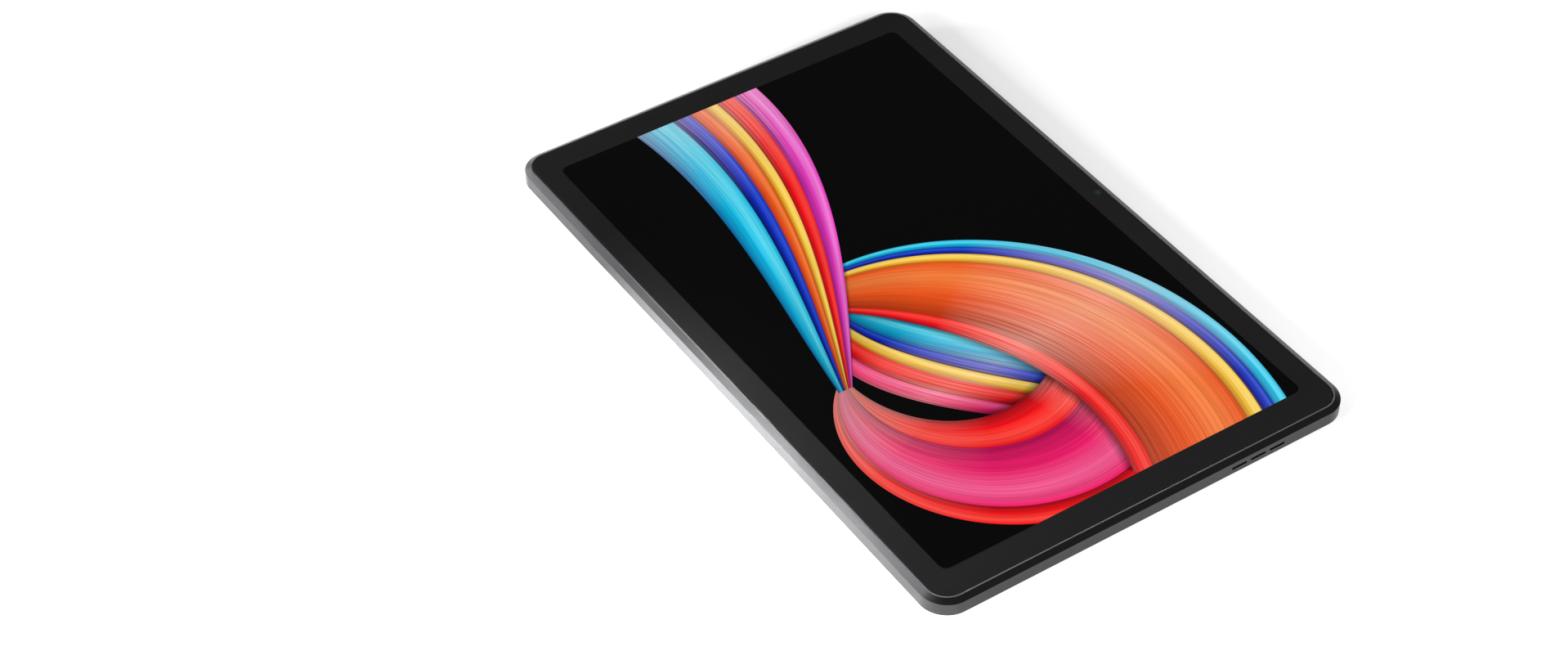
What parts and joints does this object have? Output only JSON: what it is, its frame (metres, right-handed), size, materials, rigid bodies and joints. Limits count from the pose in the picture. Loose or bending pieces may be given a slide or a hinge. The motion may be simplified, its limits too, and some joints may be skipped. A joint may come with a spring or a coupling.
{
  "type": "tablet computer",
  "caption": "Slim tablet computer with a black-bordered screen, bevelled metal body, raised camera island, sprung side keys, speaker slots and a charging port.",
  "frame": {"origin": "below the middle of the body, level with the outer face of the camera island, which is the lowest face", "axes": "+X along the long edge, to the right as the screen is seen; +Y to the long edge with the keys and front camera; +Z out of the screen"},
  "size_m": [0.2418, 0.1573, 0.0081],
  "materials": {
    "dark_metal": "satin anodised, dark grey",
    "key_metal": "satin anodised, grey",
    "front_glass": "polished glass with a black printed border",
    "island_glass": "polished black glass",
    "clear_glass": "coated lens glass",
    "bright_trim": "polished",
    "steel_sheet": "pressed sheet",
    "black_plastic": "fine matte",
    "rubber": "soft",
    "circuit_board": "solder mask",
    "flex_film": "polyimide film",
    "white_sheet": "diffusing sheet",
    "panel_glass": "display glass",
    "cell_foil": "laminated pouch foil",
    "adhesive": "foam tape",
    "speaker_cloth": "woven acoustic cloth"
  },
  "bodies": {
    "body": {"rear_shell": "dark_metal", "front_trim": "dark_metal", "glass_adhesive": "adhesive", "cover_glass": "front_glass", "display_panel": "panel_glass", "display_driver": "black_plastic", "backlight_guide": "white_sheet", "backlight_tray": "steel_sheet", "support_plate": "steel_sheet", "display_flex": "flex_film", "display_connector": "black_plastic", "camera_plate": "dark_metal", "camera_window": "island_glass", "camera_ring": "bright_trim", "camera_bezel": "black_plastic", "rear_camera_lens": "clear_glass", "rear_camera_module": "black_plastic", "camera_flex": "flex_film", "front_camera_module": "black_plastic", "front_camera_lens": "clear_glass", "button_bracket": "steel_sheet", "button_flex": "flex_film", "volume_up_switch": "steel_sheet", "volume_down_switch": "steel_sheet", "power_switch": "steel_sheet", "microphone_gasket": "rubber", "microphone": "steel_sheet", "microphone_board": "circuit_board", "speaker_right": "black_plastic", "speaker_left": "black_plastic", "speaker_mesh_right": "speaker_cloth", "speaker_mesh_left": "speaker_cloth", "usb_shell": "steel_sheet", "usb_tongue": "black_plastic", "port_board": "circuit_board", "main_board": "circuit_board", "processor_shield": "steel_sheet", "power_shield": "steel_sheet", "radio_shield": "steel_sheet", "heat_spreader": "black_plastic", "battery_left": "cell_foil", "battery_right": "cell_foil", "battery_board": "circuit_board", "antenna_left": "flex_film", "antenna_right": "flex_film", "plate_screw_1": "steel_sheet", "plate_screw_2": "steel_sheet", "plate_screw_3": "steel_sheet", "plate_screw_4": "steel_sheet", "plate_screw_5": "steel_sheet", "plate_screw_6": "steel_sheet", "board_screw_1": "steel_sheet", "board_screw_2": "steel_sheet", "board_screw_3": "steel_sheet", "board_screw_4": "steel_sheet"},
    "rocker": {"volume_rocker": "key_metal"},
    "power_key": {"power_button": "key_metal"}
  },
  "joints": [
    {"name": "power_press", "type": "slide", "parent": "body", "child": "power_key", "axis": [0, -1, 0], "range_m": [0, 0.00025], "stiffness_N_per_m": 6000},
    {"name": "volume_rock", "type": "hinge", "parent": "body", "child": "rocker", "pos_m": [-0.0718, 0.0762, 0.0046], "axis": [0, 0, 1], "range_deg": [-1.2, 1.2], "stiffness_Nm_per_rad": 0.8}
  ]
}
